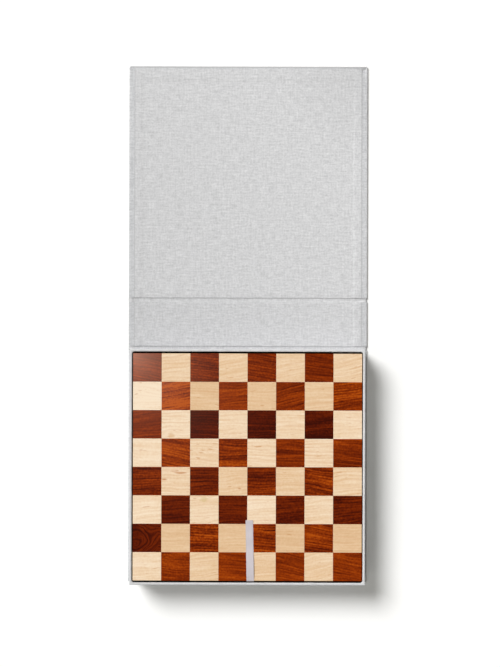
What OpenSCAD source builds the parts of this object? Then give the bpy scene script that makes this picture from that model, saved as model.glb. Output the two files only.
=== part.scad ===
// Book-style chess box. A cloth-covered case of three boards opens flat on the table. The tray
// on its base holds a lift-out wooden chessboard, and under the board a lattice of dividers
// makes one slot for each chessman. Millimetres, +Z up, front towards -Y, origin on the table
// under the centre of the tray.

/* [Chessboard] */
// Width of one square of the board, along the grain
square_w = 37.8; // [30:0.1:60]
// How much less the board measures from front to back, where its planks shrank across the grain
board_shrink = 2.4; // [0:0.1:4]
// Thickness of the hardwood squares
square_t = 9; // [5:0.5:15]
// Thickness of the plywood panel that backs the squares
backing_t = 3; // [2:0.5:6]
// Free space on each side of the board inside the tray
board_gap = 1.2; // [1.2:0.1:4]
// Depth of the board's face below the rim of the tray
board_drop = 1.8; // [1:0.1:5]

/* [Ribbon pull] */
// Width of the ribbon
ribbon_w = 10; // [6:1:20]
// Thickness of the ribbon
ribbon_t = 0.4; // [0.2:0.1:0.8]
// Length of ribbon that lies on the face of the board
ribbon_free_l = 80; // [30:1:140]
// Length of ribbon that is glued under the board
ribbon_glued_l = 45; // [20:1:80]
// Free space round the glued end in its groove
ribbon_play = 0.5; // [0.2:0.1:1]
// Offset of the ribbon from the centre line of the board
ribbon_x = 4; // [-20:0.5:20]

/* [Tray] */
// Height of the slots for the chessmen
slot_h = 38.5; // [25:0.5:60]
// Thickness of the greyboard in the walls
wall_board_t = 2.4; // [2:0.1:5]
// Thickness of the greyboard in the floor
floor_board_t = 2.4; // [1.5:0.1:5]
// Thickness of the black lining
lining_t = 0.4; // [0.2:0.1:1]
// Radius of the lining in the corners of the tray
lining_r = 4; // [2:0.5:4]
// Depth of the cloth that turns down inside the rim
rim_turn_down = 2; // [1:0.5:10]

/* [Dividers] */
// Thickness of the black card dividers
divider_t = 2; // [1:0.1:4]
// Free space on each side of a half-lap, and under it
lap_gap = 0.15; // [0.05:0.05:0.5]
// Free space between a divider's end and the lining
divider_end_gap = 0.2; // [0.1:0.1:1]

/* [Case] */
// Thickness of the greyboard in the base, the spine and the lid
case_board_t = 2.4; // [1.5:0.1:4]
// Thickness of the book cloth
cloth_t = 0.4; // [0.2:0.1:0.6]
// Overhang of the case past the sides of the tray
side_overhang = 6.4; // [3:0.1:12]
// Overhang of the case past the front of the tray
front_overhang = 5.2; // [2:0.1:12]
// Width of the cloth groove at each fold
groove_w = 4.8; // [3:0.1:10]
// Width of the cloth that turns in over the edge of a case board
turn_in_w = 18; // [10:0.5:30]
// Space between the two edges of a mitred turn-in
mitre_gap = 0.6; // [0.2:0.1:2]
// Radius of the outer corners of the boards in the base and the lid
corner_r = 1.5; // [0.5:0.1:3]
// Distance from the side of the case to the liner
liner_side_inset = 7.6; // [2:0.1:9]
// Distance from the front edge of the lid to its liner
liner_edge_inset = 4; // [2:0.1:9]
// Free space between the closed lid and the rim
lid_gap = 0.4; // [0.3:0.1:2]
// Free space between the closed spine and the back of the tray
spine_gap = 0.4; // [0.3:0.1:2]

/* [Hidden] */
$fn = 48;
cut = 1; // how far a cutting shape runs past the face that it opens
join = 0.05; // how far the shapes of one piece run into each other

// A chessboard has eight squares a side. A slot is one square wide and two squares long.
squares = 8;
slots_across = squares;
slots_along = squares / 2;
slot_pitch_x = square_w;
slot_pitch_y = 2 * square_w;

// Widths, from the board outwards. The tray is as deep as it is wide.
board_w = squares * square_w;
board_l = board_w - board_shrink;
square_l = board_l / squares;
inner_w = board_w + 2 * board_gap;
inner_skin_t = max(lining_t, cloth_t);
wall_inner_w = inner_w + 2 * inner_skin_t;
tray_board_w = wall_inner_w + 2 * wall_board_t;
tray_w = tray_board_w + 2 * cloth_t;
case_w = tray_w + 2 * side_overhang;
case_board_w = case_w - 2 * cloth_t;
turn_in_inner_x = case_board_w / 2 - turn_in_w;
liner_w = case_w - 2 * liner_side_inset;

// Heights, from the table upwards
case_board_top = cloth_t + case_board_t;
turn_in_top = case_board_top + cloth_t;
panel_t = turn_in_top + cloth_t;
floor_top = turn_in_top + floor_board_t;
slot_z = floor_top + lining_t;
board_z = slot_z + slot_h;
squares_z = board_z + backing_t;
board_top = squares_z + square_t;
rim_z = board_top + board_drop;
wall_top = rim_z - cloth_t;
lining_top = wall_top - rim_turn_down;
closed_lid_z = rim_z + lid_gap;

// The folds. Each cloth strip is two layers thick and lies flat on the table. The fold is at
// the top of the strip, where it meets the spine, so the closed spine stands on the strip.
fold_z = 2 * cloth_t;
case_front = -tray_w / 2 - front_overhang;
spine_y = tray_w / 2 + spine_gap + panel_t - fold_z;
base_rear = spine_y - groove_w;
spine_w = closed_lid_z + panel_t - 2 * fold_z;
lid_fold_y = spine_y + spine_w;
lid_y = lid_fold_y + groove_w;
lid_l = base_rear - case_front;
lid_far = lid_y + lid_l;

cloth_colour = [0.80, 0.81, 0.82];
liner_colour = [0.84, 0.85, 0.86];
greyboard_colour = [0.55, 0.53, 0.49];
black_colour = [0.07, 0.07, 0.08];
plywood_colour = [0.80, 0.67, 0.48];
maple_colour = [0.93, 0.83, 0.71];
ribbon_colour = [0.79, 0.77, 0.81];
// Each row's dark squares are cut from one plank, so a row has one tone, from back to front.
plank_colours = [
    [0.48, 0.25, 0.16], [0.58, 0.24, 0.09], [0.35, 0.12, 0.07], [0.48, 0.19, 0.08],
    [0.46, 0.20, 0.11], [0.37, 0.12, 0.06], [0.53, 0.23, 0.09], [0.51, 0.19, 0.05]
];

// ---- Shared shapes ----

module rounded_rectangle(w, l, r) {
    square([w - 2 * r, l], center = true);
    square([w, l - 2 * r], center = true);
    for (x = [-1, 1])
        for (y = [-1, 1])
            translate([x * (w / 2 - r), y * (l / 2 - r)])
                circle(r = r);
}

// A quarter disc in the corner of the +X and +Y axes
module quarter_disc(r) {
    intersection() {
        circle(r = r);
        square(r);
    }
}

// A flat board or sheet between two heights
module slab(x0, x1, y0, y1, z0, z1) {
    translate([x0, y0, z0])
        cube([x1 - x0, y1 - y0, z1 - z0]);
}

// Extrudes an outline along +Y. The outline's X stays X, and its Y becomes Z.
module run_along_y(y0, y1) {
    translate([0, y1, 0])
        rotate([90, 0, 0])
            linear_extrude(y1 - y0)
                children();
}

// Extrudes an outline along +X. The outline's X becomes Y, and its Y becomes Z.
module run_along_x(x0, x1) {
    translate([x0, 0, 0])
        rotate([90, 0, 90])
            linear_extrude(x1 - x0)
                children();
}

// Section of the cloth that bends round the edge of a case board standing at X = 0. It runs a
// little way into the sheet below the board and into the turn-in above it.
module edge_section() {
    translate([0, cloth_t])
        square([cloth_t, case_board_t]);
    for (z = [0, case_board_top])
        translate([-join, z])
            square([join, cloth_t]);
    translate([0, case_board_top])
        quarter_disc(cloth_t);
    translate([0, cloth_t])
        mirror([0, 1])
            quarter_disc(cloth_t);
}

// Plan of a case board. With a fore edge the two corners at its far end are rounded.
module case_board_plan(near, far, fore_edge) {
    half = case_board_w / 2;
    translate([-half, near])
        square([case_board_w, far - near - (fore_edge ? corner_r : 0)]);
    if (fore_edge) {
        translate([-half + corner_r, near])
            square([case_board_w - 2 * corner_r, far - near]);
        for (side = [-1, 1])
            translate([side * (half - corner_r), far - corner_r])
                circle(r = corner_r);
    }
}

// The greyboard of one case board
module case_board(near, far, fore_edge) {
    color(greyboard_colour)
        translate([0, 0, cloth_t])
            linear_extrude(case_board_t)
                case_board_plan(near, far, fore_edge);
}

// The outer cloth of one case board: a sheet below, the bend round each side, and turn-ins
// above. With a fore edge the cloth also bends round the far end, and the turn-ins are mitred.
// The turn-ins of a lined board stop where the liner bends down into the groove.
module board_cloth(near, far, fore_edge, lined) {
    half = case_board_w / 2;
    r = fore_edge ? corner_r : 0;
    mitre = mitre_gap / sqrt(2);
    bend = lined ? cloth_t : 0;
    side_end = fore_edge ? far - mitre : far - bend;
    side_inner_end = fore_edge ? far - turn_in_w - mitre : far - bend;
    linear_extrude(cloth_t)
        case_board_plan(near, far, fore_edge);
    for (side = [0, 1])
        mirror([side, 0, 0]) {
            translate([half, 0, 0])
                run_along_y(near, far - r)
                    edge_section();
            translate([0, 0, case_board_top])
                linear_extrude(cloth_t)
                    intersection() {
                        case_board_plan(near, far, fore_edge);
                        polygon([
                            [half, near + bend],
                            [half, side_end],
                            [turn_in_inner_x, side_inner_end],
                            [turn_in_inner_x, near + bend]
                        ]);
                    }
            if (fore_edge)
                translate([half - r, far - r, 0])
                    rotate_extrude(angle = 90)
                        translate([r, 0])
                            edge_section();
        }
    if (fore_edge) {
        translate([0, far, 0])
            run_along_x(-half + r, half - r)
                edge_section();
        translate([0, 0, case_board_top])
            linear_extrude(cloth_t)
                intersection() {
                    case_board_plan(near, far, fore_edge);
                    polygon([
                        [-half + mitre, far],
                        [half - mitre, far],
                        [turn_in_inner_x - mitre, far - turn_in_w],
                        [-turn_in_inner_x + mitre, far - turn_in_w]
                    ]);
                }
    }
}

// Section of the liner where it bends down the edge of a case board into the groove at X = 0
module groove_bend_section() {
    translate([0, cloth_t])
        square([cloth_t, case_board_t + cloth_t]);
    translate([cloth_t, turn_in_top])
        mirror([1, 0])
            quarter_disc(cloth_t);
}

// The inner cloth of a case board. It lies on the turn-ins round the edge, steps down inside
// them, and bends down into the groove at the near end, and at the far end of the spine.
module board_liner(near, far, turn_in_far, both_grooves) {
    half = liner_w / 2;
    flat_far = both_grooves ? far - cloth_t : far;
    step_far = both_grooves ? far + cut : turn_in_far - cloth_t;
    difference() {
        union() {
            slab(-half, half, near + cloth_t, flat_far, turn_in_top, panel_t);
            translate([0, near, 0])
                run_along_x(-half, half)
                    groove_bend_section();
            if (both_grooves)
                translate([0, far, 0])
                    mirror([0, 1, 0])
                        run_along_x(-half, half)
                            groove_bend_section();
        }
        slab(
            -turn_in_inner_x + cloth_t, turn_in_inner_x - cloth_t,
            near - cut, step_far,
            turn_in_top, panel_t + cut
        );
    }
    slab(
        -turn_in_inner_x, turn_in_inner_x,
        near + cloth_t, both_grooves ? flat_far : turn_in_far,
        case_board_top, turn_in_top
    );
}

// The two layers of cloth in a groove, with only the table below them
module hinge_strip(near, far) {
    slab(-case_w / 2, case_w / 2, near, far, 0, fold_z);
}

// ---- Case ----

module base_board() {
    mirror([0, 1, 0])
        case_board(-base_rear, -case_front - cloth_t, true);
}

module base_cloth() {
    color(cloth_colour)
        mirror([0, 1, 0])
            board_cloth(-base_rear, -case_front - cloth_t, true, false);
}

// Thin card that fills the space inside the turn-ins, so that the tray is glued to a level face
module base_infill() {
    front = case_front + cloth_t + turn_in_w + mitre_gap;
    half = turn_in_inner_x - mitre_gap;
    color(greyboard_colour)
        slab(-half, half, front, base_rear, case_board_top, turn_in_top);
}

module base_hinge_strip() {
    color(cloth_colour)
        hinge_strip(base_rear, spine_y);
}

module spine_board() {
    case_board(spine_y + cloth_t, lid_fold_y - cloth_t, false);
}

module spine_cloth() {
    color(cloth_colour)
        board_cloth(spine_y, lid_fold_y, false, true);
}

module spine_liner() {
    color(liner_colour)
        board_liner(spine_y, lid_fold_y, lid_fold_y, true);
}

module lid_board() {
    case_board(lid_y + cloth_t, lid_far - cloth_t, true);
}

module lid_cloth() {
    color(cloth_colour)
        board_cloth(lid_y, lid_far - cloth_t, true, true);
}

module lid_liner() {
    color(liner_colour)
        board_liner(lid_y, lid_far - liner_edge_inset, lid_far - cloth_t - turn_in_w, false);
}

module lid_hinge_strip() {
    color(cloth_colour)
        hinge_strip(lid_fold_y, lid_y);
}

// ---- Tray ----

module tray_floor() {
    half = tray_board_w / 2;
    color(greyboard_colour)
        slab(-half, half, -half, half, turn_in_top, floor_top);
}

// The side walls run the full length of the tray, and the end walls stand between them.
module side_wall() {
    half = tray_board_w / 2;
    slab(half - wall_board_t, half, -half, half, floor_top, wall_top);
}

module end_wall() {
    half = wall_inner_w / 2;
    slab(-half, half, half, half + wall_board_t, floor_top, wall_top);
}

module front_wall() {
    color(greyboard_colour)
        mirror([0, 1, 0])
            end_wall();
}

module back_wall() {
    color(greyboard_colour)
        end_wall();
}

module left_wall() {
    color(greyboard_colour)
        mirror([1, 0, 0])
            side_wall();
}

module right_wall() {
    color(greyboard_colour)
        side_wall();
}

// Section of the cloth over a wall whose outer face stands at X = 0
module rim_section() {
    translate([0, turn_in_top])
        square([cloth_t, wall_top - turn_in_top]);
    translate([-wall_board_t, wall_top])
        square([wall_board_t, cloth_t]);
    translate([-wall_board_t - cloth_t, lining_top])
        square([cloth_t, rim_turn_down]);
    translate([0, wall_top])
        quarter_disc(cloth_t);
    translate([-wall_board_t, wall_top])
        mirror([1, 0])
            quarter_disc(cloth_t);
}

// One length of cloth goes round all four walls, over the rim and a little way down inside.
module tray_cloth() {
    reach = tray_w;
    color(cloth_colour)
        intersection() {
            for (turn = [0 : 90 : 270])
                rotate([0, 0, turn])
                    intersection() {
                        translate([0, tray_board_w / 2, 0])
                            run_along_x(-reach, reach)
                                rim_section();
                        linear_extrude(rim_z + cut)
                            polygon([[0, 0], [reach, reach], [-reach, reach]]);
                    }
            linear_extrude(rim_z + cut)
                rounded_rectangle(tray_w, tray_w, cloth_t);
        }
}

module wall_lining() {
    color(black_colour)
        translate([0, 0, slot_z])
            linear_extrude(lining_top - slot_z)
                difference() {
                    square(wall_inner_w, center = true);
                    rounded_rectangle(inner_w, inner_w, lining_r);
                }
}

module floor_lining() {
    half = wall_inner_w / 2;
    color(black_colour)
        slab(-half, half, -half, half, floor_top, slot_z);
}

// ---- Dividers ----

function cross_divider_x(i) = (i - slots_across / 2) * slot_pitch_x;
function long_divider_y(i) = (i - slots_along / 2) * slot_pitch_y;
notch_w = divider_t + 2 * lap_gap;
notch_h = slot_h / 2 + lap_gap;
divider_half_l = inner_w / 2 - divider_end_gap;

// A long divider runs from side to side. Its notches open upwards.
module long_divider(i) {
    color(black_colour)
        translate([0, long_divider_y(i), slot_z])
            difference() {
                slab(-divider_half_l, divider_half_l, -divider_t / 2, divider_t / 2, 0, slot_h);
                for (j = [1 : slots_across - 1])
                    translate([cross_divider_x(j) - notch_w / 2, -divider_t, slot_h - notch_h])
                        cube([notch_w, 2 * divider_t, notch_h + cut]);
            }
}

// A cross divider runs from front to back. Its notches open downwards, over the long ones.
module cross_divider(i) {
    color(black_colour)
        translate([cross_divider_x(i), 0, slot_z])
            difference() {
                slab(-divider_t / 2, divider_t / 2, -divider_half_l, divider_half_l, 0, slot_h);
                for (j = [1 : slots_along - 1])
                    translate([-divider_t, long_divider_y(j) - notch_w / 2, -cut])
                        cube([2 * divider_t, notch_w, notch_h + cut]);
            }
}

// ---- Chessboard ----

// A row's squares are cut from one plank of dark wood and one of light, so each row is two
// nodes. Row 1 is at the back, and its left-hand square is dark.
module row_of_squares(row, first_column) {
    for (column = [first_column : 2 : squares])
        translate([(column - 1) * square_w - board_w / 2, board_l / 2 - row * square_l, squares_z])
            cube([square_w, square_l, square_t]);
}

module dark_row(row) {
    color(plank_colours[row - 1])
        row_of_squares(row, row % 2 == 1 ? 1 : 2);
}

module light_row(row) {
    color(maple_colour)
        row_of_squares(row, row % 2 == 1 ? 2 : 1);
}

module board_backing() {
    half = board_w / 2;
    front = -board_l / 2;
    groove_half = ribbon_w / 2 + ribbon_play;
    color(plywood_colour)
        difference() {
            slab(-half, half, front, -front, board_z, squares_z);
            slab(
                ribbon_x - groove_half, ribbon_x + groove_half,
                front - cut, front + ribbon_glued_l + ribbon_play,
                board_z - cut, board_z + ribbon_t
            );
        }
}

// The ribbon is glued in a groove under the board. It bends up round the front edge and comes
// back over the face of the board.
module ribbon_pull() {
    front = -board_l / 2;
    color(ribbon_colour)
        run_along_x(ribbon_x - ribbon_w / 2, ribbon_x + ribbon_w / 2) {
            translate([front, board_z])
                square([ribbon_glued_l, ribbon_t]);
            translate([front - ribbon_t, board_z + ribbon_t])
                square([ribbon_t, board_top - board_z - ribbon_t]);
            translate([front, board_top])
                square([ribbon_free_l, ribbon_t]);
            translate([front, board_z + ribbon_t])
                rotate(180)
                    quarter_disc(ribbon_t);
            translate([front, board_top])
                rotate(90)
                    quarter_disc(ribbon_t);
        }
}

base_board();
base_cloth();
base_infill();
base_hinge_strip();
spine_board();
spine_cloth();
spine_liner();
lid_board();
lid_cloth();
lid_liner();
lid_hinge_strip();
tray_floor();
front_wall();
back_wall();
left_wall();
right_wall();
tray_cloth();
wall_lining();
floor_lining();
for (i = [1 : slots_along - 1])
    long_divider(i);
for (i = [1 : slots_across - 1])
    cross_divider(i);
board_backing();
ribbon_pull();
for (row = [1 : squares]) {
    dark_row(row);
    light_row(row);
}
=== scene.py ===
"""Looks of a book-style chess box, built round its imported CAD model. Metres, in the CAD frame.

The book cloth of the case and the tray, the ribbon and the squares of the board are made here.
The greyboard, the black linings, the dividers and the plywood keep their CAD shapes.
"""

import math

import bmesh
import bpy
import numpy as np
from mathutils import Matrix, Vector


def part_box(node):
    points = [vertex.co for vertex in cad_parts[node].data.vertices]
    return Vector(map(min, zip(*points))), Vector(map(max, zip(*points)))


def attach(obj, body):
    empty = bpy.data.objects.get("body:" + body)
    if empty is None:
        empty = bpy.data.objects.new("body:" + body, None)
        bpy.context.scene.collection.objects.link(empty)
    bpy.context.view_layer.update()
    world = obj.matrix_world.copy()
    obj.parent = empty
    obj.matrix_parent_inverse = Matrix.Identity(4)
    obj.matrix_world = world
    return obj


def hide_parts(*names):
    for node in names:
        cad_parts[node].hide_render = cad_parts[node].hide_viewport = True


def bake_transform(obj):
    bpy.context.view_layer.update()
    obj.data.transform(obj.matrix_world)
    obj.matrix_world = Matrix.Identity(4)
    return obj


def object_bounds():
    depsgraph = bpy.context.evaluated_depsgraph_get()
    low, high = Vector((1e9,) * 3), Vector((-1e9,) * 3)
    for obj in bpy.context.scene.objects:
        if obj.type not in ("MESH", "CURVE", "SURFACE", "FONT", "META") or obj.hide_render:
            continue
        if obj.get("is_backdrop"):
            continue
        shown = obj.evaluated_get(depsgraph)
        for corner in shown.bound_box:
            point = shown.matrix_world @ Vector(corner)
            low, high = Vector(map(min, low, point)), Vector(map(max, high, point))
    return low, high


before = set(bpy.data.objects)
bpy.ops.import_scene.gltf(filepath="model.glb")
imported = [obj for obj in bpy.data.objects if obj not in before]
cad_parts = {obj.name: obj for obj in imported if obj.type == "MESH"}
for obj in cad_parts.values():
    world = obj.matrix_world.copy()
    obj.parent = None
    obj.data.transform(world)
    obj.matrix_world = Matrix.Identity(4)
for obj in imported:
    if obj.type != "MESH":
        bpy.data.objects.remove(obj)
cad_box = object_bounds()

MM = 0.001
X, Y, Z = range(3)


# ---- Node helpers ----

FLOAT, VECTOR, INTEGER = "NodeSocketFloat", "NodeSocketVector", "NodeSocketInt"
GEOMETRY, MATERIAL = "NodeSocketGeometry", "NodeSocketMaterial"


def feed(node, inputs):
    """Gives a node its inputs. Each one is a value, or the output socket that feeds it."""
    for key, value in inputs.items():
        if isinstance(value, bpy.types.NodeSocket):
            node.id_data.links.new(value, node.inputs[key])
        else:
            node.inputs[key].default_value = value


def place(tree, kind, inputs=None, **settings):
    """Adds a node, with its settings first and then its inputs."""
    made = tree.nodes.new(kind)
    for key, value in settings.items():
        setattr(made, key, value)
    feed(made, inputs or {})
    return made


def maths(tree, operation, *values):
    made = place(tree, "ShaderNodeMath", dict(enumerate(values)), operation=operation)
    return made.outputs["Value"]


def vector_maths(tree, operation, *values):
    made = place(tree, "ShaderNodeVectorMath", dict(enumerate(values)), operation=operation)
    return made.outputs["Value" if operation in ("DISTANCE", "LENGTH") else "Vector"]


def split(tree, vector):
    return place(tree, "ShaderNodeSeparateXYZ", {"Vector": vector}).outputs


def join(tree, **parts):
    return place(tree, "ShaderNodeCombineXYZ", parts).outputs["Vector"]


def noise(tree, vector, stretch, detail=2.0, roughness=0.5):
    """Noise. Its stretch is about the number of its patches to the metre, along each axis."""
    stretched = vector_maths(tree, "MULTIPLY", vector, stretch)
    inputs = {"Vector": stretched, "Scale": 1.0, "Detail": detail, "Roughness": roughness}
    return place(tree, "ShaderNodeTexNoise", inputs).outputs["Fac"]


def swing(tree, value, amount, about=0.0):
    """Makes a noise swing about another value, by an amount times its distance from 0.5."""
    return maths(tree, "MULTIPLY_ADD", maths(tree, "SUBTRACT", value, 0.5), amount, about)


def spread(tree, value, low, high, to_low=0.0, to_high=1.0):
    """Maps the range low..high of a value to another range, and stops at its ends."""
    inputs = {
        "Value": value, "From Min": low, "From Max": high, "To Min": to_low, "To Max": to_high,
    }
    return place(tree, "ShaderNodeMapRange", inputs).outputs["Result"]


def mix_colour(tree, factor, first, second, blend="MIX"):
    inputs = {0: factor, 6: first, 7: second}  # by number, because several share a name
    return place(tree, "ShaderNodeMix", inputs, data_type="RGBA", blend_type=blend).outputs[2]


def ramp(tree, factor, stops):
    """A colour ramp with the given (position, colour) stops."""
    made = place(tree, "ShaderNodeValToRGB", {"Fac": factor})
    elements = made.color_ramp.elements
    while len(elements) < len(stops):
        elements.new(0.5)
    for element, (position, colour) in zip(elements, stops):
        element.position = position
        element.color = colour
    return made.outputs["Color"]


def attribute(tree, name, output="Fac"):
    return place(tree, "ShaderNodeAttribute", attribute_name=name).outputs[output]


def object_place(tree):
    return place(tree, "ShaderNodeTexCoord").outputs["Object"]


def flat_place(tree):
    return place(tree, "ShaderNodeUVMap", uv_map="Weave").outputs["UV"]


def node_group(name, inputs, outputs, kind="ShaderNodeTree", output_type=FLOAT):
    """A new node group, what it is given and its output node. Inputs are (name, type, default)."""
    tree = bpy.data.node_groups.new(name, kind)
    for label, socket_type, default in inputs:
        socket = tree.interface.new_socket(label, in_out="INPUT", socket_type=socket_type)
        if default is not None:
            socket.default_value = default
    for label in outputs:
        tree.interface.new_socket(label, in_out="OUTPUT", socket_type=output_type)
    given = tree.nodes.new("NodeGroupInput").outputs
    return tree, given, tree.nodes.new("NodeGroupOutput")


def use_group(tree, group, inputs):
    return place(tree, "ShaderNodeGroup", inputs, node_tree=group).outputs


# ---- Effects that several finishes share ----

KNOT_HEART = (4 * MM, 10 * MM)  # the knot's rings begin between these distances from its centre
KNOT_EDGE = (18 * MM, 32 * MM)  # and blend into the straight grain between these
KNOT_UNEVEN = 12 * MM  # how far its rings are pushed about
KNOT_RINGS = 0.6  # rings round the knot, to one growth line elsewhere


def make_linen_weave():
    """Plain-woven linen on a UV map in metres, with slubs in the weft and fewer in the warp."""
    tree, given, result = node_group(
        "Linen weave",
        [
            ("Vector", VECTOR, (0, 0, 0)), ("Threads per metre", FLOAT, 1500.0),
            ("Speckle", FLOAT, 1.0), ("Weft slubs", FLOAT, 1.0), ("Warp slubs", FLOAT, 0.6),
        ],
        ["Tone", "Height"],
    )
    tone = 0.5
    for label, stretch, detail, roughness in (
        ("Speckle", (400, 420, 0), 1.0, 0.5), ("Weft slubs", (80, 430, 0), 2.0, 0.55),
        ("Warp slubs", (430, 75, 0), 2.0, 0.55),
    ):
        patches = noise(tree, given["Vector"], stretch, detail, roughness)
        tone = swing(tree, patches, given[label], tone)
    turns = maths(tree, "MULTIPLY", given["Threads per metre"], math.pi)
    flat = split(tree, given["Vector"])
    across, along = (
        maths(tree, "SINE", maths(tree, "MULTIPLY", flat[axis], turns)) for axis in "XY"
    )
    crossing = maths(tree, "MULTIPLY", across, along)
    feed(result, {"Tone": tone, "Height": maths(tree, "MULTIPLY_ADD", crossing, 0.25, tone)})
    return tree


def make_wood_grain():
    """Grain along X on Object coordinates, with its own shift and tilt for each square.

    Round a knot the growth lines run in rings, and they blend into the straight grain."""
    tree, given, result = node_group(
        "Wood grain",
        [
            ("Vector", VECTOR, (0, 0, 0)), ("Shift", VECTOR, (0, 0, 0)), ("Tilt", FLOAT, 0.0),
            ("Wander", FLOAT, 0.004), ("Lines per metre", FLOAT, 230.0),
            ("Waviness", FLOAT, 2.2), ("Knot", FLOAT, 0.0), ("Knot centre", VECTOR, (0, 0, 0)),
        ],
        ["Line", "Streak", "Fibre", "Band", "Fleck", "Pore"],
    )

    def in_plank(vector):
        """A place in the plank that the square was cut from, with X along the grain."""
        shifted = vector_maths(tree, "ADD", vector, given["Shift"])
        return place(
            tree, "ShaderNodeVectorRotate", {"Vector": shifted, "Angle": given["Tilt"]},
            rotation_type="Z_AXIS",
        ).outputs["Vector"]

    turned = in_plank(given["Vector"])
    sway = swing(tree, noise(tree, turned, (18, 38, 38), 1.0), given["Wander"])
    wood = split(tree, vector_maths(tree, "ADD", turned, join(tree, Y=sway)))

    apart = vector_maths(tree, "DISTANCE", given["Vector"], given["Knot centre"])
    apart = swing(tree, noise(tree, given["Vector"], (55, 55, 55)), KNOT_UNEVEN, apart)
    past_heart = maths(tree, "MULTIPLY", spread(tree, apart, *KNOT_HEART), given["Knot"])
    near = maths(tree, "MULTIPLY", past_heart, spread(tree, apart, *KNOT_EDGE, 1.0, 0.0))
    knot_in_plank = split(tree, in_plank(given["Knot centre"]))
    beside = maths(tree, "SUBTRACT", wood["Y"], knot_in_plank["Y"])
    straight = maths(tree, "MULTIPLY", beside, maths(tree, "SUBTRACT", 1.0, near))
    depth = maths(tree, "MULTIPLY_ADD", maths(tree, "MULTIPLY", apart, KNOT_RINGS), near, straight)
    at = join(tree, X=wood["X"], Y=depth, Z=wood["Z"])

    phase = maths(tree, "MULTIPLY", depth, given["Lines per metre"])
    wave = noise(tree, at, (11, 62, 62))
    phase = maths(tree, "MULTIPLY_ADD", wave, given["Waviness"], phase)
    ring = maths(tree, "SINE", maths(tree, "MULTIPLY", phase, 2 * math.pi))
    line = maths(tree, "POWER", spread(tree, ring, -1, 1), 2.5)
    clear = spread(tree, noise(tree, at, (34, 170, 170), 1.0), 0.35, 0.65, 0.15, 1.0)
    feed(result, {"Line": maths(tree, "MULTIPLY", line, maths(tree, "MAXIMUM", clear, near))})
    for label, stretch, detail, roughness in (
        ("Streak", (16, 340, 340), 3.0, 0.62), ("Fibre", (110, 700, 700), 2.0, 0.6),
        ("Band", (11, 62, 62), 1.0, 0.5), ("Fleck", (75, 480, 480), 1.0, 0.5),
        ("Pore", (400, 400, 400), 1.0, 0.5),
    ):
        feed(result, {label: noise(tree, at, stretch, detail, roughness)})
    return tree


def make_wear_and_light_edge():
    """Mask of where cloth is paler, for wear at its edges and as painted light in the grooves,
    from a piece's attribute for both, broken up by a fine noise.
    """
    tree, given, result = node_group(
        "Wear and painted light edge",
        [("Vector", VECTOR, (0, 0, 0)), ("Wear and painted light", FLOAT, 0.0), ("Amount", FLOAT, 0.5)],
        ["Mask"],
    )
    patches = noise(tree, given["Vector"], (90, 90, 90), 3.0, 0.6)
    wear_and_light_mask = maths(tree, "MULTIPLY", given["Wear and painted light"], spread(tree, patches, 0.35, 0.65, 0.4, 1.0))
    feed(result, {"Mask": maths(tree, "MULTIPLY", wear_and_light_mask, given["Amount"])})
    return tree


LINEN_WEAVE = make_linen_weave()
WOOD_GRAIN = make_wood_grain()
WEAR_AND_LIGHT_EDGE = make_wear_and_light_edge()


# ---- Marks on the board ----

MARKS_Z = 56 * MM  # just under the top of the squares
KNOT_CENTRE = (-148 * MM, -96 * MM, MARKS_Z)
PAINTED_SHEEN_CORNER = (-151 * MM, 150 * MM, MARKS_Z)  # painted sheen: a pale light's reflection on the dark wood is strongest here
PAINTED_SHEEN_REACH = 42 * MM
STAIN_TAN = (0.66, 0.40, 0.19, 1)
STAIN_OLIVE = (0.62, 0.47, 0.20, 1)
FLECK_BROWN = (0.52, 0.21, 0.07, 1)
# Marks in the light squares: the place of each one, its reach along the grain and across it,
# how strong it is, and its colour.
LIGHT_MARKS = (
    ((-100.5 * MM, 42.0 * MM), 5.7 * MM, 4.0 * MM, 0.55, STAIN_TAN),
    ((-57.2 * MM, -42.6 * MM), 6.5 * MM, 4.5 * MM, 0.45, STAIN_OLIVE),
    ((-88.0 * MM, -7.8 * MM), 9.0 * MM, 1.6 * MM, 0.75, FLECK_BROWN),
    ((-95.0 * MM, -5.4 * MM), 11.0 * MM, 1.2 * MM, 0.5, FLECK_BROWN),
    ((-109.6 * MM, -16.2 * MM), 5.0 * MM, 1.5 * MM, 0.9, FLECK_BROWN),
    ((-10.2 * MM, -28.2 * MM), 3.0 * MM, 1.2 * MM, 0.7, FLECK_BROWN),
)


# ---- Finishes ----

# Tones of the two woods, from the darkest grain to the palest.
DARK_TONES = (
    (0.0, (0.038, 0.0030, 0.0008, 1)), (0.25, (0.088, 0.0078, 0.0011, 1)),
    (0.5, (0.166, 0.0185, 0.0014, 1)), (0.75, (0.280, 0.0370, 0.0020, 1)),
    (1.0, (0.430, 0.0760, 0.0045, 1)),
)
LIGHT_TONES = (
    (0.0, (0.660, 0.410, 0.215, 1)), (0.5, (0.785, 0.555, 0.345, 1)),
    (1.0, (0.920, 0.760, 0.580, 1)),
)
PAINTED_SHEEN_COLOUR = (0.33, 0.175, 0.124, 1)
LIGHT_LINE = (0.66, 0.37, 0.19, 1)
LIGHT_FLECK = (0.55, 0.25, 0.09, 1)
PLY_T = 0.6 * MM


def new_finish(name, roughness, specular, sheen=0.0):
    """A material with a Principled BSDF, and the constants that are set on its own sockets."""
    material = bpy.data.materials.new(name)
    material.use_nodes = True
    tree = material.node_tree
    constants = {"Roughness": roughness, "Specular IOR Level": specular, "Sheen Weight": sheen}
    feed(tree.nodes["Principled BSDF"], constants)
    return material, tree


def coat(material, colour, height, strength, distance):
    """Gives a material its colour and the bump of its surface."""
    tree = material.node_tree
    raised = {"Height": height, "Strength": strength, "Distance": distance}
    normal = place(tree, "ShaderNodeBump", raised).outputs["Normal"]
    feed(tree.nodes["Principled BSDF"], {"Base Color": colour, "Normal": normal})
    return material


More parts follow.
